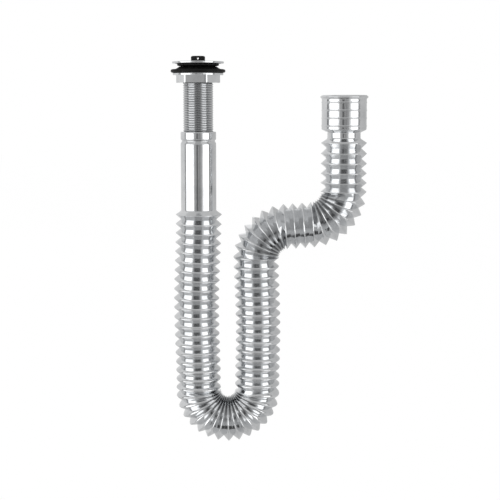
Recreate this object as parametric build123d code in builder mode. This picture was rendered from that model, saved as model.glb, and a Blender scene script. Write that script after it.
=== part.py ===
from build123d import *
import os

os.makedirs("parts", exist_ok=True)

# Flexible trap hung from a basin waste, in millimetres.
# The origin is on the axis of the waste, in the plane where its flange meets the basin.
# X runs from the inlet leg to the outlet leg, and Z points up.

# Fits
slide_clearance = 0.1    # radial, between the tail and what moves along it
plug_clearance = 0.3     # radial, between the plug and its seat
cap_margin = 1.4         # from the rim of the plug's cap to the wall of the dish
clamp_gap = 0.5          # between the two seals with no basin in the clamp
seal_play = 0.1          # between the sleeve seal and the bead that holds it

# Waste body
tail_radius = 15.1       # over the crests of the thread
tail_wall = 2.5
tail_length = 86.0
tail_chamfer = 1.0
flange_radius = 25.6
flange_height = 2.7
flange_edge = 1.4        # height of the upright edge
flange_seat_radius = 20.7
rim_width = 1.2
dish_depth = 1.0
dish_floor_radius = 18.0
plug_seat_taper = 1.6    # radial
plug_seat_depth = 6.0

# Plug
cap_height = 0.9
stopper_length = 5.0     # below the cap
stem_radius = 4.0
stem_height = 0.6
knob_radius = 7.0
knob_height = 4.9
knob_bevel = 0.9
chain_hole_radius = 1.1

# Clamp: upper seal, lower seal and nut
upper_seal_height = 1.8
upper_seal_edge = 0.9
upper_seal_bevel = 2.1
lower_seal_height = 5.9
lower_seal_land = 3.7    # width of the flat top
lower_seal_flare = 3.5   # how much the cone widens
brim_radius = 27.1
brim_height = 3.4
brim_bevel = 1.0
nut_flange_radius = 25.0
nut_flange_height = 2.5
nut_flange_bevel = 0.7
hex_radius = 22.3        # to the corners
hex_height = 7.4
hex_turn = -5.5
hex_corner_round = 1.4
hex_chamfer = 0.6

# Sleeve of the trap pipe
pipe_wall = 1.1
insert_depth = 20.0      # length of tail inside the sleeve
sleeve_length = 78.5
seal_thickness = 1.2
bead_height = 8.1
bead_bevel = 1.0
groove_fall = 1.0        # from the bead down to the bottom of the groove
groove_rise = 2.7        # from there to the smooth tube

# Bellows: the line it follows
flare_length = 4.1       # from the sleeve to the first crest
leg_lean = 0.3           # the inlet leg hangs this many degrees out of plumb
riser_lean = 0.5         # and the riser leans back this many
inlet_length = 178.9
u_bend_radius = 29.8
riser_length = 134.7
upper_bend_radius = 31.5
run_length = 27.6
run_slope = 4.5
outlet_bend_radius = 33.2
outlet_length = 48.5

# Bellows: each fold runs from one crest to the next, and a pitch is the mean of its stretch
crest_radius = 22.2
root_radius = 17.6
inlet_folds = 19
inlet_pitch = 9.26
inlet_growth = -1.05     # from the first fold to the last: the folds close up towards the bend
u_bend_folds = 15
u_bend_pitch = 6.3       # along the middle of the pipe
riser_folds = 15
riser_pitch = 9.22
riser_growth = 0.7
upper_bend_folds = 7
upper_bend_pitch = 6.58
run_folds = 3
run_pitch = 9.2
outlet_bend_folds = 7
outlet_bend_pitch = 7.08
outlet_folds = 5
outlet_growth = 1.4

# Outlet cuff
neck_radius = 16.5
neck_taper = 4.5         # from the last crest to the neck
neck_length = 6.0
shoulder_length = 2.8
cuff_radius = 22.3
cuff_wall = 1.6
cuff_length = 30.1
cuff_rings = 4
ring_pitch = 7.7
ring_height = 0.4
ring_width = 1.6
lip_width = 1.8
lip_height = 3.8
lip_bevel = 0.6

# Worked-out sizes and heights
tail_bore_radius = tail_radius - tail_wall
tail_fit_radius = tail_radius + slide_clearance
plug_seat_radius = tail_bore_radius + plug_seat_taper
dish_floor = flange_height - dish_depth
lower_seal_top = -upper_seal_height - clamp_gap
nut_top = lower_seal_top - lower_seal_height
hex_top = nut_top - nut_flange_height
sleeve_top = insert_depth - tail_length
sleeve_bottom = sleeve_top - sleeve_length
sleeve_bore_radius = tail_fit_radius + seal_thickness + seal_play
sleeve_radius = sleeve_bore_radius + pipe_wall
bead_bottom = sleeve_top - bead_height
groove_bottom = bead_bottom - groove_fall
bore_radius = root_radius - pipe_wall
neck_bore_radius = neck_radius - pipe_wall
cuff_bore_radius = cuff_radius - cuff_wall

# Waste body: flange with a dished top, and the tail that takes the nut and the sleeve
with BuildPart() as waste_body:
    with BuildSketch(Plane.XZ):
        with BuildLine():
            Polyline(
                (tail_bore_radius, -tail_length),
                (tail_radius - tail_chamfer, -tail_length),
                (tail_radius, tail_chamfer - tail_length),
                (tail_radius, 0),
                (flange_seat_radius, 0),
                (flange_radius, flange_height - flange_edge),
                (flange_radius, flange_height),
                (flange_radius - rim_width, flange_height),
                (dish_floor_radius, dish_floor),
                (plug_seat_radius, dish_floor),
                (tail_bore_radius, dish_floor - plug_seat_depth),
                close=True,
            )
        make_face()
    revolve(axis=Axis.Z)

# Plug: tapered stopper, flat cap, and a knob with a cross hole for a chain
stopper_radius = plug_seat_radius - plug_clearance
stopper_taper = stopper_length * plug_seat_taper / plug_seat_depth
cap_radius = dish_floor_radius - cap_margin
cap_top = dish_floor + cap_height
knob_bottom = cap_top + stem_height
knob_top = knob_bottom + knob_height
with BuildPart() as plug:
    with BuildSketch(Plane.XZ):
        with BuildLine():
            Polyline(
                (0, dish_floor - stopper_length),
                (stopper_radius - stopper_taper, dish_floor - stopper_length),
                (stopper_radius, dish_floor),
                (cap_radius, dish_floor),
                (cap_radius, cap_top),
                (stem_radius, cap_top),
                (stem_radius, knob_bottom),
                (knob_radius, knob_bottom),
                (knob_radius, knob_top - knob_bevel),
                (knob_radius - knob_bevel, knob_top),
                (0, knob_top),
                close=True,
            )
        make_face()
    revolve(axis=Axis.Z)
    with BuildSketch(Plane.XZ):
        with Locations((0, knob_bottom + knob_height / 2)):
            Circle(chain_hole_radius)
    extrude(amount=knob_radius, both=True, mode=Mode.SUBTRACT)

# Upper seal: flat ring under the flange, bevelled below
with BuildPart() as upper_seal:
    with BuildSketch(Plane.XZ):
        with BuildLine():
            Polyline(
                (tail_fit_radius, 0),
                (flange_seat_radius, 0),
                (flange_seat_radius, -upper_seal_edge),
                (flange_seat_radius - upper_seal_bevel, -upper_seal_height),
                (tail_fit_radius, -upper_seal_height),
                close=True,
            )
        make_face()
    revolve(axis=Axis.Z)

# Lower seal: rubber cone with a brim, pressed up by the nut
cone_top_radius = tail_fit_radius + lower_seal_land
brim_top = nut_top + brim_height
with BuildPart() as lower_seal:
    with BuildSketch(Plane.XZ):
        with BuildLine():
            Polyline(
                (tail_fit_radius, nut_top),
                (tail_fit_radius, lower_seal_top),
                (cone_top_radius, lower_seal_top),
                (cone_top_radius + lower_seal_flare, brim_top),
                (brim_radius - brim_bevel, brim_top),
                (brim_radius, brim_top - brim_bevel),
                (brim_radius, nut_top + brim_bevel),
                (brim_radius - brim_bevel, nut_top),
                close=True,
            )
        make_face()
    revolve(axis=Axis.Z)

# Flange nut: round flange and hexagon in one piece
with BuildPart() as flange_nut:
    with BuildSketch(Plane.XY.offset(hex_top)):
        Circle(nut_flange_radius)
    extrude(amount=nut_flange_height)
    chamfer(flange_nut.faces().sort_by(Axis.Z)[-1].edges(), nut_flange_bevel)
    with BuildSketch(Plane.XY.offset(hex_top)) as hexagon:
        RegularPolygon(hex_radius, 6, rotation=hex_turn)
        fillet(hexagon.vertices(), hex_corner_round)
    extrude(amount=-hex_height)
    chamfer(flange_nut.faces().sort_by(Axis.Z)[0].edges(), hex_chamfer)
    with BuildSketch(Plane.XY.offset(nut_top)):
        Circle(tail_fit_radius)
    extrude(amount=-nut_flange_height - hex_height, mode=Mode.SUBTRACT)

# Sleeve seal: rubber ring in the bead, between the tail and the sleeve
seal_top = sleeve_top - pipe_wall - seal_play
seal_bottom = bead_bottom + bead_bevel + seal_play
with BuildPart() as sleeve_seal:
    with BuildSketch(Plane.XY.offset(seal_top)):
        Circle(tail_fit_radius + seal_thickness)
        Circle(tail_fit_radius, mode=Mode.SUBTRACT)
    extrude(amount=seal_bottom - seal_top)

# Line of the bellows, from the first crest to the last
with BuildLine(Plane.XZ) as route:
    inlet = PolarLine((0, sleeve_bottom - flare_length), inlet_length, -90 - leg_lean)
    u_bend = JernArc(inlet @ 1, inlet % 1, u_bend_radius, 180 + leg_lean + riser_lean)
    riser = PolarLine(u_bend @ 1, riser_length, direction=u_bend % 1)
    upper_bend = JernArc(riser @ 1, riser % 1, upper_bend_radius, run_slope - 90 - riser_lean)
    run = PolarLine(upper_bend @ 1, run_length, direction=upper_bend % 1)
    outlet_bend = JernArc(run @ 1, run % 1, outlet_bend_radius, 90 - run_slope)
    outlet = PolarLine(outlet_bend @ 1, outlet_length, direction=outlet_bend % 1)
bellows_length = sum(line.length for line in route.edges())


# Plane square to a line of the route, at a share of its length
def across(line, share):
    return Plane(origin=line @ share, x_dir=(0, 1, 0), z_dir=line % share)


# The same, at a distance along the whole bellows
def along(distance):
    for line in (inlet, u_bend, riser, upper_bend, run, outlet_bend, outlet):
        if distance <= line.length or line is outlet:
            return across(line, min(distance / line.length, 1))
        distance -= line.length


# Folds of each stretch: number, mean pitch and growth. The last ones share out what is left.
fold_runs = [
    (inlet_folds, inlet_pitch, inlet_growth),
    (u_bend_folds, u_bend_pitch, 0),
    (riser_folds, riser_pitch, riser_growth),
    (upper_bend_folds, upper_bend_pitch, 0),
    (run_folds, run_pitch, 0),
    (outlet_bend_folds, outlet_bend_pitch, 0),
]
folded = sum(folds * pitch for folds, pitch, growth in fold_runs)
fold_runs.append((outlet_folds, (bellows_length - folded) / outlet_folds, outlet_growth))

sleeve_end = Plane(origin=(0, 0, sleeve_bottom), x_dir=(0, 1, 0), z_dir=(0, 0, -1))
neck_start = across(outlet, 1).offset(neck_taper)
cuff_section = Plane(origin=neck_start.origin, x_dir=(1, 0, 0), z_dir=(0, -1, 0))

# Lengths of the waterway: one for each straight, and short ones round the bends
waterway = (
    (inlet, 1),
    (u_bend, u_bend_folds // 2 + 1),
    (riser, 1),
    (upper_bend, upper_bend_folds // 2 + 1),
    (run, 1),
    (outlet_bend, outlet_bend_folds // 2 + 1),
    (outlet, 1),
)

# Heights of the cuff above the start of the neck
cuff_bottom = neck_length + shoulder_length
cuff_top = cuff_bottom + cuff_length
lip_top = cuff_top + lip_height
first_ring = (cuff_bottom + cuff_top - (cuff_rings - 1) * ring_pitch) / 2
ring_points = []
for ring in range(cuff_rings):
    middle = first_ring + ring * ring_pitch
    ring_points.append((cuff_radius, middle - ring_width / 2))
    ring_points.append((cuff_radius + ring_height, middle))
    ring_points.append((cuff_radius, middle + ring_width / 2))

# Trap pipe: sleeve, bellows and cuff blown as one piece
with BuildPart() as trap_pipe:
    # Skin of the bellows, ring by ring
    with BuildSketch(sleeve_end):
        Circle(sleeve_radius)
    with BuildSketch(along(0)):
        Circle(crest_radius)
    crest_at = 0
    for folds, pitch, growth in fold_runs:
        for fold in range(folds):
            fold_length = pitch + growth * (fold / (folds - 1) - 0.5)
            with BuildSketch(along(crest_at + fold_length / 2)):
                Circle(root_radius)
            crest_at += fold_length
            with BuildSketch(along(crest_at)):
                Circle(crest_radius)
    with BuildSketch(neck_start):
        Circle(neck_radius)
    loft(ruled=True)

    # Waterway inside the folds
    with BuildSketch(sleeve_end):
        Circle(sleeve_bore_radius)
    with BuildSketch(across(inlet, 0)):
        Circle(bore_radius)
    for line, steps in waterway:
        for step in range(steps):
            with BuildSketch(across(line, (step + 1) / steps)):
                Circle(bore_radius)
    with BuildSketch(neck_start):
        Circle(neck_bore_radius)
    loft(ruled=True, mode=Mode.SUBTRACT)

    # Sleeve: mouth turned in over the seal, bead, groove and smooth tube
    with BuildSketch(Plane.XZ):
        with BuildLine():
            Polyline(
                (tail_fit_radius, sleeve_top),
                (sleeve_radius - bead_bevel, sleeve_top),
                (sleeve_radius, sleeve_top - bead_bevel),
                (sleeve_radius, bead_bottom + bead_bevel),
                (tail_fit_radius + pipe_wall, groove_bottom),
                (sleeve_radius, groove_bottom - groove_rise),
                (sleeve_radius, sleeve_bottom),
                (sleeve_bore_radius, sleeve_bottom),
                (sleeve_bore_radius, groove_bottom - groove_rise),
                (tail_fit_radius, groove_bottom),
                (sleeve_bore_radius, bead_bottom + bead_bevel),
                (sleeve_bore_radius, sleeve_top - pipe_wall),
                (tail_fit_radius, sleeve_top - pipe_wall),
                close=True,
            )
        make_face()
    revolve(axis=Axis.Z)

    # Cuff: neck, shoulder, wall with thin rings, and the lip round the mouth
    with BuildSketch(cuff_section):
        with BuildLine():
            Polyline(
                (neck_bore_radius, 0),
                (neck_radius, 0),
                (neck_radius, neck_length),
                (cuff_radius, cuff_bottom),
                *ring_points,
                (cuff_radius, cuff_top),
                (cuff_radius + lip_width, cuff_top),
                (cuff_radius + lip_width, lip_top - lip_bevel),
                (cuff_radius + lip_width - lip_bevel, lip_top),
                (cuff_bore_radius, lip_top),
                (cuff_bore_radius, cuff_bottom),
                (neck_bore_radius, neck_length),
                close=True,
            )
        make_face()
    revolve(axis=Axis(neck_start.origin, (0, 0, 1)))

waste_body.part.label = "waste_body"
plug.part.label = "plug"
upper_seal.part.label = "upper_seal"
lower_seal.part.label = "lower_seal"
flange_nut.part.label = "flange_nut"
sleeve_seal.part.label = "sleeve_seal"
trap_pipe.part.label = "trap_pipe"

export_step(waste_body.part, "parts/waste_body.step")
export_step(plug.part, "parts/plug.step")
export_step(upper_seal.part, "parts/upper_seal.step")
export_step(lower_seal.part, "parts/lower_seal.step")
export_step(flange_nut.part, "parts/flange_nut.step")
export_step(sleeve_seal.part, "parts/sleeve_seal.step")
export_step(trap_pipe.part, "parts/trap_pipe.step")

print("outlet cuff starts at", neck_start.origin, "and is", lip_top, "high")
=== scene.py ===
import math

import bmesh
import bpy
from mathutils import Matrix, Vector


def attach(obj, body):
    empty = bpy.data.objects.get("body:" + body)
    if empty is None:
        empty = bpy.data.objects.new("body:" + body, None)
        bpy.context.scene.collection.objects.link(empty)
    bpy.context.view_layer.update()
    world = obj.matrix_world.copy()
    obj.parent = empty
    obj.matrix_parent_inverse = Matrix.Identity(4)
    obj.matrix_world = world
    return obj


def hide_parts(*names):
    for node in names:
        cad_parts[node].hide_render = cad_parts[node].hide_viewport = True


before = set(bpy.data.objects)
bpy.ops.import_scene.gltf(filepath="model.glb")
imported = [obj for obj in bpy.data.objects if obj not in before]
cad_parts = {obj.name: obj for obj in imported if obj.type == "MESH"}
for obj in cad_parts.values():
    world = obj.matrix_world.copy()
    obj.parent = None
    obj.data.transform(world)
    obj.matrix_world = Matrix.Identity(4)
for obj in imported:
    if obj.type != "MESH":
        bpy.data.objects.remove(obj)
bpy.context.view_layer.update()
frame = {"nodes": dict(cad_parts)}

print("frame loaded:", ", ".join(frame["nodes"]))

mm = 0.001
scene = bpy.context.scene
scene.view_settings.view_transform = "Standard"


# small helpers for meshes
def newPiece(name, bm, material, sharpAngle=38):
    limit = math.radians(sharpAngle)
    for face in bm.faces:
        face.smooth = True
    for edge in bm.edges:
        edge.smooth = len(edge.link_faces) == 2 and edge.calc_face_angle() < limit
    mesh = bpy.data.meshes.new(name)
    bm.to_mesh(mesh)
    bm.free()
    mesh.materials.append(material)
    piece = bpy.data.objects.new(name, mesh)
    scene.collection.objects.link(piece)
    return piece


def closeShell(bm, gap=0.000004):
    bmesh.ops.remove_doubles(bm, verts=bm.verts, dist=gap)
    bmesh.ops.recalc_face_normals(bm, faces=bm.faces)


# closed section in (radius, height), turned once about the waste's axis
def turnSection(bm, points, steps=96):
    spots = [bm.verts.new((radius, 0, height)) for radius, height in points]
    edges = [bm.edges.new((spots[i - 1], spots[i])) for i in range(len(spots))]
    bmesh.ops.spin(
        bm, geom=spots + edges, cent=(0, 0, 0), axis=(0, 0, 1), dvec=(0, 0, 0),
        angle=math.tau, steps=steps, use_merge=True, use_duplicate=False,
    )
    closeShell(bm)


# quarter round from the side up to the top, in (radius, height)
def quarter(centre, size, steps=4):
    turns = [math.pi / 2 * i / steps for i in range(steps + 1)]
    return [(centre[0] + size * math.cos(a), centre[1] + size * math.sin(a)) for a in turns]


# finishes
def node(tree, kind, place=(0, 0), **values):
    made = tree.nodes.new(kind)
    made.location = place
    for key, value in values.items():
        setattr(made, key, value)
    return made


def newGroup(name, inputs, outputs):
    group = bpy.data.node_groups.new(name, "ShaderNodeTree")
    for label, kind, value in inputs:
        socket = group.interface.new_socket(label, in_out="INPUT", socket_type=kind)
        if value is not None:
            socket.default_value = value
    for label, kind in outputs:
        group.interface.new_socket(label, in_out="OUTPUT", socket_type=kind)
    return group, node(group, "NodeGroupInput", (-900, 0)), node(group, "NodeGroupOutput", (700, 0))


# cloudy tone of the plating, with faint rubbing marks, a slow wave in the surface, and painted shade in
# thread grooves and tight folds
def makePlatingGroup():
    group, given, out = newGroup(
        "platingToneAndShade",
        [("Bright", "NodeSocketColor", (0.8, 0.8, 0.8, 1)),
         ("Dull", "NodeSocketColor", (0.6, 0.6, 0.6, 1)),
         ("Cloud Scale", "NodeSocketFloat", 60.0), ("Wave Scale", "NodeSocketFloat", 90.0),
         ("Smooth", "NodeSocketFloat", 0.08), ("Rubbed", "NodeSocketFloat", 0.2),
         ("Groove Radius", "NodeSocketFloat", 0.0), ("Land Radius", "NodeSocketFloat", 0.001),
         ("Groove Shade", "NodeSocketFloat", 1.0), ("Tight Fold Shade", "NodeSocketFloat", 1.0)],
        [("Color", "NodeSocketColor"), ("Roughness", "NodeSocketFloat"), ("Height", "NodeSocketFloat")],
    )
    links = group.links
    where = node(group, "ShaderNodeTexCoord", (-900, 300))
    cloud = node(group, "ShaderNodeTexNoise", (-650, 300))
    cloud.inputs["Detail"].default_value = 4
    wave = node(group, "ShaderNodeTexNoise", (-650, 0))
    wave.inputs["Detail"].default_value = 1
    stretch = node(group, "ShaderNodeMapping", (-780, -300))
    stretch.inputs["Scale"].default_value = (1400, 1400, 60)
    rub = node(group, "ShaderNodeTexNoise", (-600, -300))
    rub.inputs["Scale"].default_value = 1
    rub.inputs["Detail"].default_value = 3
    links.new(where.outputs["Object"], cloud.inputs["Vector"])
    links.new(where.outputs["Object"], wave.inputs["Vector"])
    links.new(where.outputs["Object"], stretch.inputs["Vector"])
    links.new(stretch.outputs["Vector"], rub.inputs["Vector"])
    links.new(given.outputs["Cloud Scale"], cloud.inputs["Scale"])
    links.new(given.outputs["Wave Scale"], wave.inputs["Scale"])

    spread = node(group, "ShaderNodeMapRange", (-420, 300))
    spread.inputs["From Min"].default_value = 0.35
    spread.inputs["From Max"].default_value = 0.72
    links.new(cloud.outputs["Fac"], spread.inputs["Value"])
    tone = node(group, "ShaderNodeMix", (-200, 300), data_type="RGBA")
    links.new(spread.outputs["Result"], tone.inputs["Factor"])
    links.new(given.outputs["Bright"], tone.inputs["A"])
    links.new(given.outputs["Dull"], tone.inputs["B"])

    # painted shade: the grooves of a thread about the Z axis are darker than its lands
    flat = node(group, "ShaderNodeVectorMath", (-650, 600), operation="MULTIPLY")
    flat.inputs[1].default_value = (1, 1, 0)
    links.new(where.outputs["Object"], flat.inputs[0])
    radius = node(group, "ShaderNodeVectorMath", (-450, 600), operation="LENGTH")
    links.new(flat.outputs["Vector"], radius.inputs[0])
    depth = node(group, "ShaderNodeMapRange", (-250, 600))
    depth.inputs["To Max"].default_value = 1
    links.new(radius.outputs["Value"], depth.inputs["Value"])
    links.new(given.outputs["Groove Radius"], depth.inputs["From Min"])
    links.new(given.outputs["Land Radius"], depth.inputs["From Max"])
    links.new(given.outputs["Groove Shade"], depth.inputs["To Min"])
    # and the bottoms of tight folds inside the bends get painted shade, darker than open ones
    folded = node(group, "ShaderNodeAttribute", (-450, 850), attribute_name="tightness")
    foldShade = node(group, "ShaderNodeMapRange", (-250, 850))
    foldShade.inputs["To Min"].default_value = 1
    links.new(folded.outputs["Fac"], foldShade.inputs["Value"])
    links.new(given.outputs["Tight Fold Shade"], foldShade.inputs["To Max"])
    # painted shade of the thread grooves times painted shade of the tight folds
    paintedShade = node(group, "ShaderNodeMath", (0, 700), operation="MULTIPLY")
    links.new(depth.outputs["Result"], paintedShade.inputs[0])
    links.new(foldShade.outputs["Result"], paintedShade.inputs[1])
    shaded = node(group, "ShaderNodeVectorMath", (200, 400), operation="SCALE")
    links.new(tone.outputs["Result"], shaded.inputs[0])
    links.new(paintedShade.outputs["Value"], shaded.inputs["Scale"])
    links.new(shaded.outputs["Vector"], out.inputs["Color"])

    rubbed = node(group, "ShaderNodeMapRange", (-400, -300))
    rubbed.inputs["From Min"].default_value = 0.5
    rubbed.inputs["From Max"].default_value = 0.85
    links.new(rub.outputs["Fac"], rubbed.inputs["Value"])
    share = node(group, "ShaderNodeMath", (-220, -300), operation="MULTIPLY")
    links.new(rubbed.outputs["Result"], share.inputs[0])
    links.new(given.outputs["Rubbed"], share.inputs[1])
    cloudy = node(group, "ShaderNodeMath", (-220, -100), operation="MULTIPLY_ADD")
    cloudy.inputs[1].default_value = 0.05
    links.new(spread.outputs["Result"], cloudy.inputs[0])
    links.new(given.outputs["Smooth"], cloudy.inputs[2])
    rough = node(group, "ShaderNodeMath", (0, -200), operation="ADD")
    links.new(cloudy.outputs["Value"], rough.inputs[0])
    links.new(share.outputs["Value"], rough.inputs[1])
    links.new(rough.outputs["Value"], out.inputs["Roughness"])
    links.new(wave.outputs["Fac"], out.inputs["Height"])
    return group


# fine grain of moulded rubber and plastic, with a little pale dust
def makeGrainGroup():
    group, given, out = newGroup(
        "mouldedGrain",
        [("Body", "NodeSocketColor", (0.02, 0.02, 0.02, 1)),
         ("Dust", "NodeSocketColor", (0.1, 0.1, 0.1, 1)),
         ("Dust Amount", "NodeSocketFloat", 0.3), ("Grain Scale", "NodeSocketFloat", 2500.0),
         ("Matt", "NodeSocketFloat", 0.5)],
        [("Color", "NodeSocketColor"), ("Roughness", "NodeSocketFloat"), ("Height", "NodeSocketFloat")],
    )
    links = group.links
    where = node(group, "ShaderNodeTexCoord", (-900, 300))
    grain = node(group, "ShaderNodeTexNoise", (-650, 0))
    grain.inputs["Detail"].default_value = 2
    patch = node(group, "ShaderNodeTexNoise", (-650, 300))
    patch.inputs["Scale"].default_value = 180
    patch.inputs["Detail"].default_value = 5
    links.new(where.outputs["Object"], grain.inputs["Vector"])
    links.new(where.outputs["Object"], patch.inputs["Vector"])
    links.new(given.outputs["Grain Scale"], grain.inputs["Scale"])
    spread = node(group, "ShaderNodeMapRange", (-420, 300))
    spread.inputs["From Min"].default_value = 0.42
    spread.inputs["From Max"].default_value = 0.75
    links.new(patch.outputs["Fac"], spread.inputs["Value"])
    dusty = node(group, "ShaderNodeMath", (-220, 300), operation="MULTIPLY")
    links.new(spread.outputs["Result"], dusty.inputs[0])
    links.new(given.outputs["Dust Amount"], dusty.inputs[1])
    tone = node(group, "ShaderNodeMix", (0, 300), data_type="RGBA")
    links.new(dusty.outputs["Value"], tone.inputs["Factor"])
    links.new(given.outputs["Body"], tone.inputs["A"])
    links.new(given.outputs["Dust"], tone.inputs["B"])
    links.new(tone.outputs["Result"], out.inputs["Color"])
    rough = node(group, "ShaderNodeMath", (0, 0), operation="MULTIPLY_ADD")
    rough.inputs[1].default_value = 0.2
    links.new(grain.outputs["Fac"], rough.inputs[0])
    links.new(given.outputs["Matt"], rough.inputs[2])
    links.new(rough.outputs["Value"], out.inputs["Roughness"])
    links.new(grain.outputs["Fac"], out.inputs["Height"])
    return group


def makeFinish(name, group, values, metallic, bumpStrength, bumpDepth, specular=0.5):
    material = bpy.data.materials.new(name)
    material.use_nodes = True
    tree = material.node_tree
    shader = tree.nodes["Principled BSDF"]
    shader.inputs["Metallic"].default_value = metallic
    shader.inputs["Specular IOR Level"].default_value = specular
    effect = node(tree, "ShaderNodeGroup", (-500, 200), node_tree=group)
    for label, value in values.items():
        effect.inputs[label].default_value = value
    bump = node(tree, "ShaderNodeBump", (-250, -150))
    bump.inputs["Strength"].default_value = bumpStrength
    bump.inputs["Distance"].default_value = bumpDepth
    tree.links.new(effect.outputs["Color"], shader.inputs["Base Color"])
    tree.links.new(effect.outputs["Roughness"], shader.inputs["Roughness"])
    tree.links.new(effect.outputs["Height"], bump.inputs["Height"])
    tree.links.new(bump.outputs["Normal"], shader.inputs["Normal"])
    return material


plating = makePlatingGroup()
grain = makeGrainGroup()
wastePlating = makeFinish(
    "brightPlating", plating,
    {"Bright": (0.80, 0.81, 0.82, 1), "Dull": (0.70, 0.71, 0.72, 1), "Cloud Scale": 90.0,
     "Wave Scale": 120.0, "Smooth": 0.07, "Rubbed": 0.12,
     # the thread's grooves take painted shade, down to 0.58 of the lands' tone
     "Groove Radius": 14.0 * mm, "Land Radius": 15.9 * mm, "Groove Shade": 0.58},
    1.0, 0.1, 0.0002)
pipePlating = makeFinish(
    "blownPlating", plating,
    {"Bright": (0.78, 0.79, 0.80, 1), "Dull": (0.66, 0.67, 0.68, 1), "Cloud Scale": 70.0,
     # the bottoms of tight folds take painted shade, down to 0.34 of the plating's tone
     "Wave Scale": 160.0, "Smooth": 0.09, "Rubbed": 0.10, "Tight Fold Shade": 0.34},
    1.0, 0.06, 0.0003)
sealRubber = makeFinish(
    "sealRubber", grain,
    {"Body": (0.004, 0.004, 0.004, 1), "Dust": (0.02, 0.02, 0.02, 1), "Dust Amount": 0.3,
     "Grain Scale": 2600.0, "Matt": 0.42},
    0.0, 0.25, 0.0001, 0.16)
washerRubber = makeFinish(
    "washerRubber", grain,
    {"Body": (0.010, 0.010, 0.010, 1), "Dust": (0.04, 0.04, 0.04, 1), "Dust Amount": 0.3,
     "Grain Scale": 2600.0, "Matt": 0.5},
    0.0, 0.25, 0.0001, 0.22)
plugPlastic = makeFinish(
    "plugPlastic", grain,
    {"Body": (0.004, 0.004, 0.004, 1), "Dust": (0.02, 0.02, 0.02, 1), "Dust Amount": 0.2,
     "Grain Scale": 1800.0, "Matt": 0.3},
    0.0, 0.15, 0.0001, 0.15)
print("finishes made")

# waste: dished flange and threaded tail
waste = {
    "tailRadius": 15.1 * mm, "boreRadius": 12.6 * mm, "tailEnd": -86 * mm, "chamfer": 1.0 * mm,
    "flangeRadius": 25.6 * mm, "flangeTop": 2.7 * mm, "edge": 1.9 * mm, "edgeRound": 0.45 * mm,
    "seatRadius": 20.7 * mm, "rimWidth": 1.2 * mm, "dishFloor": 1.7 * mm, "dishRadius": 18 * mm,
    "plugSeat": 14.2 * mm, "seatDepth": 6 * mm,
    "pitch": 2.309 * mm, "threadDepth": 0.95 * mm, "threadRound": 0.08 * mm, "threadTop": -1.2 * mm,
    "threadTurns": 40, "boreMeet": 20 * mm, "around": 72,
}


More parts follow.
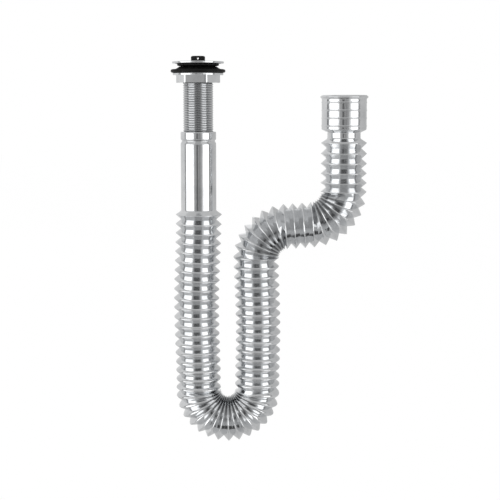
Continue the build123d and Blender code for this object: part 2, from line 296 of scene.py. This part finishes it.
def makeWaste():
    w = waste
    tail, bore, root = w["tailRadius"], w["boreRadius"], w["tailRadius"] - w["threadDepth"]
    end = w["tailEnd"]
    bm = bmesh.new()
    # one tooth of the thread, a pitch long, wound down the tail
    p, soft = w["pitch"], w["threadRound"]
    tooth = [(root, 0), (root + soft, 0.05 * p), (tail - soft, 0.45 * p), (tail, 0.48 * p),
             (tail, 0.52 * p), (tail - soft, 0.55 * p), (root + soft, 0.95 * p), (root, p)]
    spots = [bm.verts.new((radius, 0, -along)) for radius, along in tooth]
    edges = [bm.edges.new((spots[i], spots[i + 1])) for i in range(len(spots) - 1)]
    steps = w["around"]
    bmesh.ops.spin(
        bm, geom=spots + edges, cent=(0, 0, 0), axis=(0, 0, 1), dvec=(0, 0, -p / steps),
        angle=math.tau, steps=steps, use_merge=False, use_duplicate=False,
    )
    turn = bm.verts[:] + bm.edges[:] + bm.faces[:]
    for down in range(1, w["threadTurns"]):
        copied = bmesh.ops.duplicate(bm, geom=turn)["geom"]
        bmesh.ops.translate(bm, vec=(0, 0, -p * down),
                            verts=[g for g in copied if isinstance(g, bmesh.types.BMVert)])
    # the winding starts above the flange and is then cut to length
    bmesh.ops.translate(bm, vec=(0, 0, 2 * p), verts=bm.verts)
    bmesh.ops.remove_doubles(bm, verts=bm.verts, dist=0.00001)
    for height, side in ((w["threadTop"], 1), (end + w["chamfer"], -1)):
        bmesh.ops.bisect_plane(
            bm, geom=bm.verts[:] + bm.edges[:] + bm.faces[:], dist=0.000001,
            plane_co=(0, 0, height), plane_no=(0, 0, side), clear_outer=True,
        )
    bmesh.ops.recalc_face_normals(bm, faces=bm.faces)
    middle = [f for f in bm.faces if f.calc_center_median().z < -20 * mm]
    if middle and middle[0].normal.dot(Vector((*middle[0].calc_center_median().xy, 0))) < 0:
        bmesh.ops.reverse_faces(bm, faces=bm.faces)

    # plain ends of the thread run into the flange above and the bore below
    def runOn(height, rings):
        rim = [e for e in bm.edges if e.is_boundary
               and all(abs(v.co.z - height) < 0.00001 for v in e.verts)]
        for radius, z in rings:
            grown = bmesh.ops.extrude_edge_only(bm, edges=rim)["geom"]
            rim = [g for g in grown if isinstance(g, bmesh.types.BMEdge)]
            for v in (g for g in grown if isinstance(g, bmesh.types.BMVert)):
                flat = v.co.xy.normalized() * radius
                v.co = (flat.x, flat.y, z)

    r, f, top = w["edgeRound"], w["flangeRadius"], w["flangeTop"]
    lower, meet = top - w["edge"], end + w["boreMeet"]
    upper = [(root, 0.0), (w["seatRadius"], 0.0), (f - r, lower - 0.1 * mm), (f, lower + r)]
    upper += quarter((f - r, top - r), r)
    upper += [(f - w["rimWidth"], top), (f - w["rimWidth"] - 0.5 * mm, top - 0.12 * mm),
              (w["dishRadius"] + 0.6 * mm, w["dishFloor"] + 0.06 * mm),
              (w["dishRadius"], w["dishFloor"]), (w["plugSeat"] + 0.3 * mm, w["dishFloor"]),
              (w["plugSeat"], w["dishFloor"] - 0.3 * mm),
              (bore, w["dishFloor"] - w["seatDepth"]), (bore, meet)]
    runOn(w["threadTop"], upper)
    runOn(end + w["chamfer"], [
        (tail - w["chamfer"], end), (bore + 0.3 * mm, end), (bore, end + 0.3 * mm), (bore, meet)])
    bmesh.ops.remove_doubles(bm, verts=bm.verts, dist=0.000002)
    loose = [e for e in bm.edges if e.is_boundary]
    if loose:
        bmesh.ops.bridge_loops(bm, edges=loose)
    bmesh.ops.recalc_face_normals(bm, faces=bm.faces)
    return newPiece("threadedWaste", bm, wastePlating, 50)


threadedWaste = makeWaste()
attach(threadedWaste, "waste")
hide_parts("waste_body")
print("threaded waste:", len(threadedWaste.data.polygons), "faces")

# rubber: washer under the flange and cup seal over the nut
washer = {"inner": 15.2 * mm, "outer": 20.7 * mm, "thick": 1.8 * mm, "edge": 0.9 * mm,
          "bevel": 2.1 * mm, "round": 0.3 * mm}
bm = bmesh.new()
w = washer
turnSection(bm, [
    (w["inner"], 0), (w["outer"] - w["round"], 0), (w["outer"] - 0.1 * mm, -0.1 * mm),
    (w["outer"], -w["round"]), (w["outer"], -w["edge"]), (w["outer"] - 0.35 * mm, -w["edge"] - 0.3 * mm),
    (w["outer"] - w["bevel"] + 0.3 * mm, -w["thick"] + 0.1 * mm), (w["outer"] - w["bevel"], -w["thick"]),
    (w["inner"], -w["thick"])])
flangeWasher = newPiece("flangeWasher", bm, washerRubber, 60)
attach(flangeWasher, "waste")
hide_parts("upper_seal")

cup = {"inner": 15.2 * mm, "top": -2.3 * mm, "land": 18.9 * mm, "foot": 22.4 * mm,
       "brim": 27.1 * mm, "brimTop": -4.8 * mm, "bottom": -8.2 * mm}
bm = bmesh.new()
c = cup
roll = (c["brimTop"] - c["bottom"]) / 2          # the brim's edge is a half round
rollAt = (c["brim"] - roll, (c["brimTop"] + c["bottom"]) / 2)
turnSection(bm, [
    (c["inner"], c["bottom"]), (c["inner"], c["top"] - 0.3 * mm), (c["inner"] + 0.3 * mm, c["top"]),
    (c["land"] - 0.6 * mm, c["top"]), (c["land"], c["top"] - 0.15 * mm),
    (c["land"] + 0.5 * mm, c["top"] - 0.6 * mm), (c["foot"] - 0.6 * mm, c["brimTop"] + 0.45 * mm),
    (c["foot"] + 0.3 * mm, c["brimTop"] + 0.06 * mm)]
    + [(rollAt[0] + roll * math.cos(math.radians(a)), rollAt[1] + roll * math.sin(math.radians(a)))
       for a in (90, 60, 30, 0, -30, -60, -90)])
cupSeal = newPiece("cupSeal", bm, sealRubber, 60)
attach(cupSeal, "clamp_seal")
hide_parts("lower_seal")
print("seals made")

# nut: round flange over a hexagon with soft corners
nut = {"bore": 15.2 * mm, "top": -8.2 * mm, "flange": 25 * mm, "flangeHeight": 2.5 * mm,
       "flangeRound": 0.9 * mm, "flangeFoot": 0.3 * mm, "hex": 22.3 * mm, "hexHeight": 7.4 * mm,
       "turn": -5.5, "corner": 1.5 * mm, "edge": 0.5 * mm, "boreMeet": 4 * mm}


def makeNut():
    n = nut
    hexTop = n["top"] - n["flangeHeight"]
    hexEnd = hexTop - n["hexHeight"]
    bm = bmesh.new()
    turned = Matrix.Translation((0, 0, hexEnd)) @ Matrix.Rotation(math.radians(n["turn"] + 30), 4, "Z")
    bmesh.ops.create_circle(bm, cap_ends=False, segments=6, radius=n["hex"], matrix=turned)
    grown = bmesh.ops.extrude_edge_only(bm, edges=bm.edges[:])["geom"]
    bmesh.ops.translate(bm, vec=(0, 0, n["hexHeight"]),
                        verts=[g for g in grown if isinstance(g, bmesh.types.BMVert)])
    corners = [e for e in bm.edges if abs(e.verts[0].co.z - e.verts[1].co.z) > 1 * mm]
    bmesh.ops.bevel(bm, geom=corners, offset=n["corner"], affect="EDGES", segments=5, profile=0.5,
                    material=-1)
    longSides = [e for e in bm.edges
                 if e.calc_length() > 10 * mm and abs(e.verts[0].co.z - e.verts[1].co.z) < 0.1 * mm]
    bmesh.ops.subdivide_edges(bm, edges=longSides, cuts=7)

    # from the hexagon's top out to the flange and down the bore
    def ringOn(rim, rings):
        for radius, z in rings:
            grown = bmesh.ops.extrude_edge_only(bm, edges=rim)["geom"]
            rim = [g for g in grown if isinstance(g, bmesh.types.BMEdge)]
            for v in (g for g in grown if isinstance(g, bmesh.types.BMVert)):
                if callable(radius):
                    v.co = radius(v.co, z)
                else:
                    flat = v.co.xy.normalized() * radius
                    v.co = (flat.x, flat.y, z)

    def shrink(amount):
        return lambda co, z: Vector((*(co.xy * (1 - amount / co.xy.length)), z))

    topRim = [e for e in bm.edges if all(abs(v.co.z - hexTop) < 1e-6 for v in e.verts)]
    endRim = [e for e in bm.edges if all(abs(v.co.z - hexEnd) < 1e-6 for v in e.verts)]
    cut, f, top, bore = n["edge"], n["flange"], n["top"], n["bore"]
    soft, foot, meet = n["flangeRound"], n["flangeFoot"], top - n["boreMeet"]
    ringOn(topRim, [(f - foot, hexTop), (f, hexTop + foot)] + quarter((f - soft, top - soft), soft)
           + [(bore + cut, top), (bore, top - cut), (bore, meet)])
    for v in {v for side in endRim for v in side.verts}:
        v.co.z += cut
    ringOn(endRim, [(shrink(0.3 * cut), hexEnd + 0.3 * cut), (shrink(0.7 * cut), hexEnd),
                    (bore + cut, hexEnd), (bore, hexEnd + cut), (bore, meet)])
    closeShell(bm)
    return newPiece("clampNut", bm, wastePlating, 40)


clampNut = makeNut()
# large faces stay flat beside their rounded edges
flats = clampNut.modifiers.new("flats", "WEIGHTED_NORMAL")
flats.keep_sharp = True
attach(clampNut, "nut")
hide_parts("flange_nut")
print("clamp nut made")

# pipe: sleeve, bellows and cuff in one skin, walked ring by ring along the route
pipe = {
    "around": 72,
    "sleeveTop": -66 * mm, "sleeveBottom": -144.5 * mm, "mouth": 15.2 * mm, "tube": 17.6 * mm,
    "wall": 1.1 * mm, "beadBottom": -74.1 * mm, "grooveBottom": -75.1 * mm, "grooveRadius": 16.3 * mm,
    "tubeTop": -77.8 * mm,
    "flare": 4.1 * mm, "crest": 23.0 * mm, "blunt": 1.2 * mm, "depth": 5.5 * mm, "lean": 0.3,
    "stray": 0.12 * mm, "wobble": 0.5, "bendEase": 9 * mm,
    "neck": 16.5 * mm, "neckTaper": 4.5 * mm, "neckLength": 6 * mm, "shoulder": 2.8 * mm,
    "cuff": 22.3 * mm, "cuffWall": 1.6 * mm, "cuffLength": 30.1 * mm, "ringPitch": 7.7 * mm,
    "ringHeight": 0.5 * mm, "ringWidth": 1.3 * mm, "lip": 1.8 * mm, "lipHeight": 3.8 * mm,
    "tightest": 1.9 * mm, "tightFrom": -0.3, "tightOver": 0.8, "weldEvery": 40,
}
# line of the bellows, from the first crest to the last
line = [
    {"length": 178.9 * mm, "bow": 2.1 * mm},
    {"radius": 29.8 * mm, "turn": 180.8, "crowd": 1.9 * mm},
    {"length": 134.7 * mm, "bow": 1.4 * mm},
    {"radius": 31.5 * mm, "turn": -86.0, "crowd": 1.8 * mm},
    {"length": 27.6 * mm, "bow": 0},
    {"radius": 33.2 * mm, "turn": 85.5, "crowd": 1.8 * mm},
    {"length": 48.5 * mm, "bow": 0},
]
# folds along it: bead is the share of a fold that its round tip takes, at the start, middle and end
folds = [
    {"count": 19, "pitch": 9.26 * mm, "growth": -0.45 * mm, "bead": (0.08, 0.22, 0.42)},
    {"count": 15, "pitch": 6.3 * mm, "growth": 0, "bead": (0.42, 0.06, 0.42)},
    {"count": 15, "pitch": 9.22 * mm, "growth": 1.1 * mm, "bead": (0.42, 0.34, 0.2)},
    {"count": 7, "pitch": 6.58 * mm, "growth": 0, "bead": (0.12, 0.08, 0.08)},
    {"count": 3, "pitch": 9.2 * mm, "growth": 0, "bead": (0.08, 0.08, 0.08)},
    {"count": 7, "pitch": 7.08 * mm, "growth": 0, "bead": (0.08, 0.08, 0.08)},
    {"count": 5, "pitch": 0, "growth": 1.4 * mm, "bead": (0.08, 0.08, 0.08)},  # shares out what is left
]


def lengthOf(part):
    return part["length"] if "length" in part else part["radius"] * math.radians(abs(part["turn"]))


taken = sum(f["count"] * f["pitch"] for f in folds)
folds[-1]["pitch"] = (sum(map(lengthOf, line)) - taken) / folds[-1]["count"]


def placeAt(x, z, heading, radius):
    along = Vector((math.cos(heading), 0, math.sin(heading)))
    across = Vector((0, 1, 0))
    third = along.cross(across)
    turned = Matrix((across, third, along)).transposed().to_4x4()
    return Matrix.Translation((x, 0, z)) @ turned @ Matrix.Diagonal((radius, radius, 1, 1))


# point, heading and crowding (towards the inside of a bend) at a distance along the bellows
def station(distance):
    x, z, heading = 0.0, pipe["sleeveBottom"] - pipe["flare"], math.radians(-90 - pipe["lean"])
    for part in line:
        size = lengthOf(part)
        last = part is line[-1]
        far = min(distance, size)
        if "turn" in part:
            side = math.copysign(1, part["turn"])
            now = heading + side * far / part["radius"]
            x += side * part["radius"] * (math.sin(now) - math.sin(heading))
            z -= side * part["radius"] * (math.cos(now) - math.cos(heading))
            heading = now
            ease = min(1, far / pipe["bendEase"], (size - far) / pipe["bendEase"])
            crowd = side * part["crowd"] * ease * ease * (3 - 2 * ease)
        else:
            x, z = x + far * math.cos(heading), z + far * math.sin(heading)
            crowd = 0
            if distance <= size or last:
                share = far / size
                off = part["bow"] * math.sin(math.pi * share) ** 2
                tilt = part["bow"] * math.pi * math.sin(math.tau * share) / size
                x, z = x + off * math.sin(heading), z - off * math.cos(heading)
                heading -= tilt
        if distance <= size or last:
            return x, z, heading, crowd
        distance -= size


def foldHeight(share, bead):
    d = abs(2 * share - 1)                       # 1 on the crest, 0 in the groove
    over = max(0, d - 1 + bead)                  # straight flanks, and a round tip as wide as the bead
    return d - over * over / (2 * bead) - 1 + bead / 2


def bellowsRings(shares, inner):
    p, rings, count, crestAt = pipe, [], 0, 0
    for run in folds:
        for fold in range(run["count"]):
            here = fold / (run["count"] - 1)
            size = run["pitch"] + run["growth"] * (here - 0.5)
            first, second = run["bead"][:2] if here < 0.5 else run["bead"][1:]
            bead = first + (second - first) * (2 * here % 1 if here < 1 else 1)
            stray = p["stray"] * math.sin(2.4 * count)        # no two folds are quite alike
            wobble = math.radians(p["wobble"]) * math.sin(1.7 * count)
            for share in shares:
                height = foldHeight(share, bead)
                radius = p["crest"] - p["blunt"] * bead + stray + p["depth"] * height
                if inner:
                    radius -= p["wall"]
                x, z, heading, crowd = station(crestAt + share * size)
                shift = -crowd * height
                x, z = x - shift * math.sin(heading), z + shift * math.cos(heading)
                tilt = 0 if crowd else wobble * (1 - abs(2 * share - 1))
                rings.append((placeAt(x, z, heading + tilt, radius + abs(shift)), shift / p["tightest"]))
            crestAt += size
            count += 1
    return rings, station(crestAt)[:2]


# how tight the folds are at a ring's points: most at the bottom of a fold, inside a bend; it sets the
# painted shade of the plating there
def markFolds(points, layer, ring, tight):
    toRing = ring.inverted()
    for v in points:
        inside = (toRing @ v.co).y * math.copysign(1, tight)
        v[layer] = abs(tight) * min(1, max(0, (inside - pipe["tightFrom"]) / pipe["tightOver"]))


def makePipe():
    p = pipe
    down, up = math.radians(-90), math.radians(90)
    tube, wall, mouth = p["tube"], p["wall"], p["mouth"]
    outerShares = (0.03, 0.08, 0.15, 0.33, 0.475, 0.5, 0.525, 0.67, 0.85, 0.92, 0.97, 1.0)
    innerShares = (0.0, 0.25, 0.5, 0.75)

    # sleeve, from the turned-in mouth down to the first crest
    top, bead, groove, foot = p["sleeveTop"], p["beadBottom"], p["grooveBottom"], p["sleeveBottom"]
    waist, firstCrest = p["grooveRadius"], foot - p["flare"]
    sleeve = [(mouth, top - 0.4 * mm), (mouth + 0.4 * mm, top), (tube - 1.1 * mm, top),
              (tube - 0.5 * mm, top - 0.15 * mm), (tube - 0.15 * mm, top - 0.5 * mm),
              (tube, top - 1.1 * mm), (tube, top - 1.8 * mm),
              (tube, bead + 1.7 * mm), (tube, bead + 1.0 * mm), (tube - 0.25 * mm, bead + 0.3 * mm),
              (waist + 0.3 * mm, groove + 0.35 * mm), (waist, groove),
              (waist + 0.25 * mm, groove - 0.5 * mm), (tube - 0.35 * mm, p["tubeTop"] + 0.7 * mm),
              (tube, p["tubeTop"]), (tube, p["tubeTop"] - 1 * mm), (tube, foot + 1.2 * mm),
              (tube, foot + 0.3 * mm), (tube + 0.5 * mm, foot - 0.4 * mm),
              (p["crest"] - 0.5 * mm, firstCrest + 0.55 * mm), (p["crest"], firstCrest)]
    rings = [(placeAt(0, z, down, r), 0) for r, z in sleeve]
    skin, (ox, oz) = bellowsRings(outerShares, False)
    rings += skin

    # cuff, up the outside and down the inside
    start = oz + p["neckTaper"]
    shoulder = start + p["neckLength"]
    cuffTop = start + p["neckLength"] + p["shoulder"] + p["cuffLength"]
    low = shoulder + p["shoulder"]
    c, n = p["cuff"], p["neck"]
    cuffOut = [(p["crest"] - 0.5 * mm, oz + 0.5 * mm), (n + 0.6 * mm, start - 0.5 * mm),
               (n, start + 0.4 * mm), (n, start + 1 * mm), (n, shoulder - 1 * mm), (n, shoulder - 0.4 * mm),
               (n + 0.4 * mm, shoulder + 0.1 * mm), (c - 0.7 * mm, low - 0.5 * mm),
               (c - 0.15 * mm, low + 0.1 * mm), (c, low + 0.6 * mm), (c, low + 1.2 * mm)]
    firstRing = (low + cuffTop - 3 * p["ringPitch"]) / 2
    for ring in range(4):
        middle = firstRing + ring * p["ringPitch"]
        for off, high in ((-1.6, 0), (-1, 0), (-0.45, 0.75), (0, 1), (0.45, 0.75), (1, 0), (1.6, 0)):
            cuffOut.append((c + high * p["ringHeight"], middle + off * p["ringWidth"] / 2))
    lipTop, lipOut = cuffTop + p["lipHeight"], c + p["lip"]
    cuffOut += [(c, cuffTop - 0.7 * mm), (c, cuffTop)]
    tip = (cuffTop + lipTop) / 2
    cuffOut += [(lipOut - 0.3 * mm, tip - 0.4 * mm), (lipOut, tip), (lipOut - 0.3 * mm, tip + 0.4 * mm),
                (c + 0.1 * mm, lipTop - 0.15 * mm), (c - 0.3 * mm, lipTop)]
    inside, neckIn = c - p["cuffWall"], n - wall
    cuffIn = [(inside + 0.5 * mm, lipTop), (inside + 0.1 * mm, lipTop - 0.2 * mm),
              (inside, lipTop - 0.6 * mm), (inside, low + 1.0 * mm), (inside - 0.6 * mm, low - 0.1 * mm),
              (neckIn + 0.4 * mm, shoulder + 0.5 * mm), (neckIn, shoulder - 0.3 * mm),
              (neckIn, start + 0.2 * mm), (neckIn + 0.4 * mm, start - 0.6 * mm)]
    rings += [(placeAt(ox, z, up, r), 0) for r, z in cuffOut + cuffIn]

    back, _ = bellowsRings(innerShares, True)
    rings += back[::-1]
    tubeIn = tube - wall
    sleeveIn = [(tubeIn, foot), (tubeIn, p["tubeTop"]), (mouth, groove), (tubeIn, bead + 1.0 * mm),
                (tubeIn, top - wall), (mouth, top - wall)]
    rings += [(placeAt(0, z, down, r), 0) for r, z in sleeveIn]

    # the ring is walked in short lengths, which are then welded into one skin
    bm = bmesh.new()
    bm.verts.layers.float.new("tightness")
    rings.append(rings[0])
    for first in range(0, len(rings) - 1, p["weldEvery"]):
        length = rings[first:first + p["weldEvery"] + 1]
        part = bmesh.new()
        layer = part.verts.layers.float.new("tightness")
        bmesh.ops.create_circle(part, cap_ends=False, segments=p["around"], radius=1,
                                matrix=length[0][0])
        markFolds(part.verts, layer, *length[0])
        rim = part.edges[:]
        for (old, _), (new, tight) in zip(length, length[1:]):
            grown = bmesh.ops.extrude_edge_only(part, edges=rim)["geom"]
            rim = [g for g in grown if isinstance(g, bmesh.types.BMEdge)]
            moved = [g for g in grown if isinstance(g, bmesh.types.BMVert)]
            bmesh.ops.transform(part, matrix=new @ old.inverted(), verts=moved)
            markFolds(moved, layer, new, tight)
        joined = bpy.data.meshes.new("length")
        part.to_mesh(joined)
        part.free()
        bm.from_mesh(joined)
        bpy.data.meshes.remove(joined)
    closeShell(bm)
    return newPiece("bellowsPipe", bm, pipePlating, 75)


bellowsPipe = makePipe()
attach(bellowsPipe, "pipe")
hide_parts("trap_pipe")
print("bellows pipe:", len(bellowsPipe.data.polygons), "faces")

# CAD pieces that stay: plug and the hidden ring in the sleeve
for name, finish in (("plug", plugPlastic), ("sleeve_seal", sealRubber)):
    kept = frame["nodes"][name]
    kept.data.materials.clear()
    kept.data.materials.append(finish)
print("plug and sleeve ring dressed")

# studio: pale floor, soft lamps, and grey cards that only the plating sees
studio = {
    "floor": -0.62, "middle": -0.19, "world": 0.9, "lamp": 1.25, "floorGlow": 1.08, "floorShare": 0.75,
    "low": -25, "foot": -15, "sill": -5, "brow": 9, "high": 56,        # angles seen from the trap
    "frontHigh": 0.45, "frontLow": 0.11, "frontFoot": 0.5, "wall": 0.72, "front": 0.42,
    "frontLine": 0.14, "frontShade": 0.3, "glint": 0.5, "overhead": 0.62, "below": 0.62,
    "lowStrip": 0.08, "left": 0.76, "leftLine": 0.36, "right": 0.58, "rightLine": 0.32,
}
s = studio


def makeCard(name, strength, place, width, height):
    material = bpy.data.materials.new(name)
    material.use_nodes = True
    tree = material.node_tree
    tree.nodes.clear()
    glow = node(tree, "ShaderNodeEmission")
    glow.inputs["Color"].default_value = (strength, strength, strength, 1)
    shown = node(tree, "ShaderNodeOutputMaterial", (200, 0))
    tree.links.new(glow.outputs["Emission"], shown.inputs["Surface"])
    bm = bmesh.new()
    bmesh.ops.create_grid(bm, x_segments=1, y_segments=1, size=0.5,
                          matrix=place @ Matrix.Diagonal((width, height, 1, 1)))
    card = newPiece(name, bm, material)
    card.visible_camera = card.visible_diffuse = card.visible_shadow = card.visible_transmission = False


def widthFor(distance, degrees):
    return 2 * distance * math.tan(math.radians(degrees / 2))


# place and height of something upright that is seen from the trap between the low and high angles
def upright(angle, distance, low="low", high="high"):
    bottom, top = (s["middle"] + distance * math.tan(math.radians(s[end])) for end in (low, high))
    place = (Matrix.Rotation(math.radians(angle), 4, "Z")
             @ Matrix.Translation((0, -distance, (bottom + top) / 2))
             @ Matrix.Rotation(math.radians(90), 4, "X"))
    return place, top - bottom


# name, tone, angle round the trap, spread, distance, and the angles between which it is seen
for name, tone, angle, spread, distance, *ends in (
    ("frontCard", "front", 0, 52, 3.0, "sill", "brow"),
    ("frontLine", "frontLine", -5, 11, 2.9, "sill", "brow"),
    ("frontShade", "frontShade", 9, 11, 2.9, "sill", "brow"),
    ("frontGlint", "glint", 2, 3, 2.8, "sill", "brow"),
    ("frontSill", "front", 0, 52, 3.0, "foot", "sill"),
    ("frontLow", "frontLow", 0, 36, 2.9, "foot", "sill"),
    ("frontFoot", "frontFoot", 0, 52, 3.0, "low", "foot"),
    ("frontHigh", "frontHigh", 0, 52, 3.0, "brow", "high"),
    ("leftHigh", "wall", -57, 56, 3.0, "brow", "high"),
    ("rightHigh", "wall", 50, 46, 3.0, "brow", "high"),
    ("leftLine", "leftLine", -93, 12, 3.0),
    ("leftCard", "left", -136, 70, 3.4),
    ("rightLine", "rightLine", 79, 10, 2.9),
    ("rightCard", "right", 104, 64, 3.0),
    ("backCard", "right", 156, 40, 3.6),
):
    place, height = upright(angle, distance, *ends)
    makeCard(name, s[tone], place, widthFor(distance, spread), height)
makeCard("overheadCard", s["overhead"], Matrix.Translation((0, 0, 6)), 8.4, 8.4)
makeCard("lowCard", s["below"], Matrix.Translation((0, 0, -2.8)), 11.2, 11.2)
makeCard("lowStrip", s["lowStrip"], Matrix.Translation((0, -1.6, -2.7)), 2.2, 1.4)


def makeLamp(name, angle, distance, spread, glow):
    data = bpy.data.lights.new(name, "AREA")
    data.shape = "RECTANGLE"
    place, height = upright(angle, distance, "low", "brow")
    data.size, data.size_y = widthFor(distance, spread), height
    data.energy = glow * math.pi * data.size * data.size_y
    lamp = bpy.data.objects.new(name, data)
    lamp.matrix_world = place
    scene.collection.objects.link(lamp)


makeLamp("softLeft", -57, 2.2, 50, s["lamp"])
makeLamp("softRight", 54, 2.2, 36, s["lamp"])

floorMaterial = bpy.data.materials.new("paleFloor")
floorMaterial.use_nodes = True
tree = floorMaterial.node_tree
floorShader = tree.nodes["Principled BSDF"]
floorShader.inputs["Base Color"].default_value = (0.82, 0.82, 0.82, 1)
floorShader.inputs["Roughness"].default_value = 0.9
glow = node(tree, "ShaderNodeEmission", (0, -200))
glow.inputs["Color"].default_value = (1, 1, 1, 1)
glow.inputs["Strength"].default_value = s["floorGlow"]
seen = node(tree, "ShaderNodeLightPath", (-400, 300))
most = node(tree, "ShaderNodeMath", (-200, 300), operation="MULTIPLY")
most.inputs[1].default_value = s["floorShare"]
mixed = node(tree, "ShaderNodeMixShader", (300, 0))
tree.links.new(seen.outputs["Is Camera Ray"], most.inputs[0])
tree.links.new(most.outputs["Value"], mixed.inputs["Fac"])
tree.links.new(floorShader.outputs["BSDF"], mixed.inputs[1])
tree.links.new(glow.outputs["Emission"], mixed.inputs[2])
tree.links.new(mixed.outputs["Shader"], tree.nodes["Material Output"].inputs["Surface"])
bm = bmesh.new()
bmesh.ops.create_grid(bm, x_segments=1, y_segments=1, size=12,
                      matrix=Matrix.Translation((0, 0, s["floor"])))
floor = newPiece("floor", bm, floorMaterial)
floor.visible_glossy = False         # the plating sees the white background and the cards below

world = bpy.data.worlds.new("studio")
scene.world = world
world.use_nodes = True
tree = world.node_tree
tree.nodes.clear()
paths = node(tree, "ShaderNodeLightPath", (-600, 200))
either = node(tree, "ShaderNodeMath", (-400, 200), operation="MAXIMUM")
anyRay = node(tree, "ShaderNodeMath", (-200, 200), operation="MAXIMUM")
tree.links.new(paths.outputs["Is Camera Ray"], either.inputs[0])
tree.links.new(paths.outputs["Is Glossy Ray"], either.inputs[1])
tree.links.new(either.outputs["Value"], anyRay.inputs[0])
tree.links.new(paths.outputs["Is Transmission Ray"], anyRay.inputs[1])
ambient = node(tree, "ShaderNodeBackground", (0, 0))
ambient.inputs["Color"].default_value = (s["world"], s["world"], s["world"], 1)
white = node(tree, "ShaderNodeBackground", (0, -150))
white.inputs["Color"].default_value = (1, 1, 1, 1)
mixed = node(tree, "ShaderNodeMixShader", (200, 0))
tree.links.new(anyRay.outputs["Value"], mixed.inputs["Fac"])
tree.links.new(ambient.outputs["Background"], mixed.inputs[1])
tree.links.new(white.outputs["Background"], mixed.inputs[2])
tree.links.new(mixed.outputs["Shader"], node(tree, "ShaderNodeOutputWorld", (400, 0)).inputs["Surface"])
print("studio lit")

# camera at the photograph's angle
shot = {"distance": 1.2, "eye": -40 * mm, "aim": (51.3 * mm, 0, -184.5 * mm), "across": 0.5025,
        "sensor": 36}
cameraData = bpy.data.cameras.new("camera")
cameraData.sensor_width = shot["sensor"]
camera = bpy.data.objects.new("camera", cameraData)
aim = Vector(shot["aim"])
stand = Vector((aim.x, -shot["distance"], shot["eye"]))
cameraData.lens = shot["sensor"] * (aim - stand).length / shot["across"]
turned = (aim - stand).to_track_quat("-Z", "Y").to_matrix().to_4x4()
camera.matrix_world = Matrix.Translation(stand) @ turned
scene.collection.objects.link(camera)
scene.camera = camera
